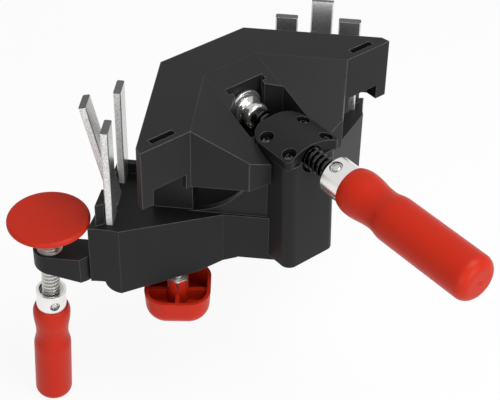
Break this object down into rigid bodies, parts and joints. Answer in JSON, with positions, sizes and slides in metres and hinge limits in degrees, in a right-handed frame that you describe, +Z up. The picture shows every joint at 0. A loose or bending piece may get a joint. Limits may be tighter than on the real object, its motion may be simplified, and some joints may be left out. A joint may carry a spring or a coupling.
{
  "type": "corner clamp",
  "caption": "Corner clamp: a screw pushes a V-shaped jaw at two boards against upright flat steel bars on a two-armed base, with a bench clamp under one arm",
  "frame": {"origin": "rear corner of the base's flat top, on the middle plane, where the rear faces of the two arms meet; the work corner, where the two fence planes meet, lies 123.5 mm from it along +Y", "axes": "+Z up; +Y runs from the screw's handle towards the corner being clamped; +X to the right seen from the handle, so the bench clamp is at -X"},
  "size_m": [0.2756, 0.2724, 0.2349],
  "materials": {
    "black_base": "fine-grained black glass-filled plastic",
    "black_cap": "black plastic, slight sheen",
    "black_jaw": "fine-grained black plastic",
    "zinc_nut": "zinc-plated steel",
    "dark_screw": "rolled thread, oiled steel",
    "zinc_screw": "rolled thread, zinc-plated steel",
    "bright_head": "turned bright steel",
    "bright_ferrule": "bright nickel-plated ferrule",
    "zinc_pin": "zinc-plated rivet",
    "red_handle": "satin red plastic",
    "red_disc": "red plastic with a fine grain",
    "red_knob": "satin red plastic",
    "cap_screw": "dark zinc-plated steel",
    "bar_steel": "galvanised flat steel"
  },
  "bodies": {
    "base": {"base_frame": "black_base", "post_cap": "black_cap", "spindle_nut": "zinc_nut", "table_nut": "zinc_nut", "cap_screw_left_back": "cap_screw", "cap_screw_left_front": "cap_screw", "cap_screw_right_back": "cap_screw", "cap_screw_right_front": "cap_screw", "fence_bar_left_near": "bar_steel", "fence_bar_left_far": "bar_steel", "lean_bar_left": "bar_steel", "fence_bar_right_near": "bar_steel", "fence_bar_right_far": "bar_steel", "lean_bar_right": "bar_steel", "knob_bush_left": "zinc_nut"},
    "jaw": {"clamp_jaw": "black_jaw"},
    "spindle": {"main_spindle": "dark_screw", "swivel_head": "bright_head", "spindle_collar": "bright_head", "main_ferrule": "bright_ferrule", "ferrule_pin": "zinc_pin", "main_handle": "red_handle"},
    "disc_carrier": {"swivel_bush": "zinc_nut"},
    "disc": {"pressure_disc": "red_disc"},
    "bench_spindle": {"table_spindle": "zinc_screw", "table_ferrule": "bright_ferrule", "table_pin": "zinc_pin", "table_handle": "red_handle"},
    "washer_left": {"knob_washer_left": "zinc_nut"},
    "knob_left": {"knob_bolt_left": "zinc_nut", "clamp_knob_left": "red_knob", "knob_nut_left": "zinc_nut"}
  },
  "joints": [
    {"name": "jaw_slide", "type": "slide", "parent": "base", "child": "jaw", "axis": [0, 1, 0], "range_m": [-0.012, 0.015]},
    {"name": "spindle_spin", "type": "hinge", "parent": "jaw", "child": "spindle", "pos_m": [0, -0.08, 0.04925], "axis": [0, 1, 0], "range_deg": [-1081, 1351]},
    {"name": "disc_slide", "type": "slide", "parent": "base", "child": "disc_carrier", "axis": [0.037, -0.037, 0.9986], "range_m": [-0.012, 0.019]},
    {"name": "disc_tilt", "type": "hinge", "parent": "disc_carrier", "child": "disc", "pos_m": [-0.13124, 0.05183, -0.00628], "axis": [1, 0, 0], "range_deg": [-8, 8]},
    {"name": "table_spin", "type": "hinge", "parent": "disc_carrier", "child": "bench_spindle", "pos_m": [-0.13216, 0.05275, -0.031], "axis": [0.037, -0.037, 0.9986], "range_deg": [-1441, 2281]},
    {"name": "knob_travel_left", "type": "slide", "parent": "base", "child": "washer_left", "axis": [0, 0, 1], "range_m": [-0.008, 0.0045]},
    {"name": "knob_spin_left", "type": "hinge", "parent": "washer_left", "child": "knob_left", "pos_m": [-0.0643, 0.00536, -0.06], "axis": [0, 0, 1], "range_deg": [-2305, 1297]}
  ],
  "couplings": [
    {"joint": "spindle_spin", "follows": "jaw_slide", "rad_per_m": 1570.8},
    {"joint": "table_spin", "follows": "disc_slide", "rad_per_m": 2094.4},
    {"joint": "knob_spin_left", "follows": "knob_travel_left", "rad_per_m": 5026.5}
  ]
}
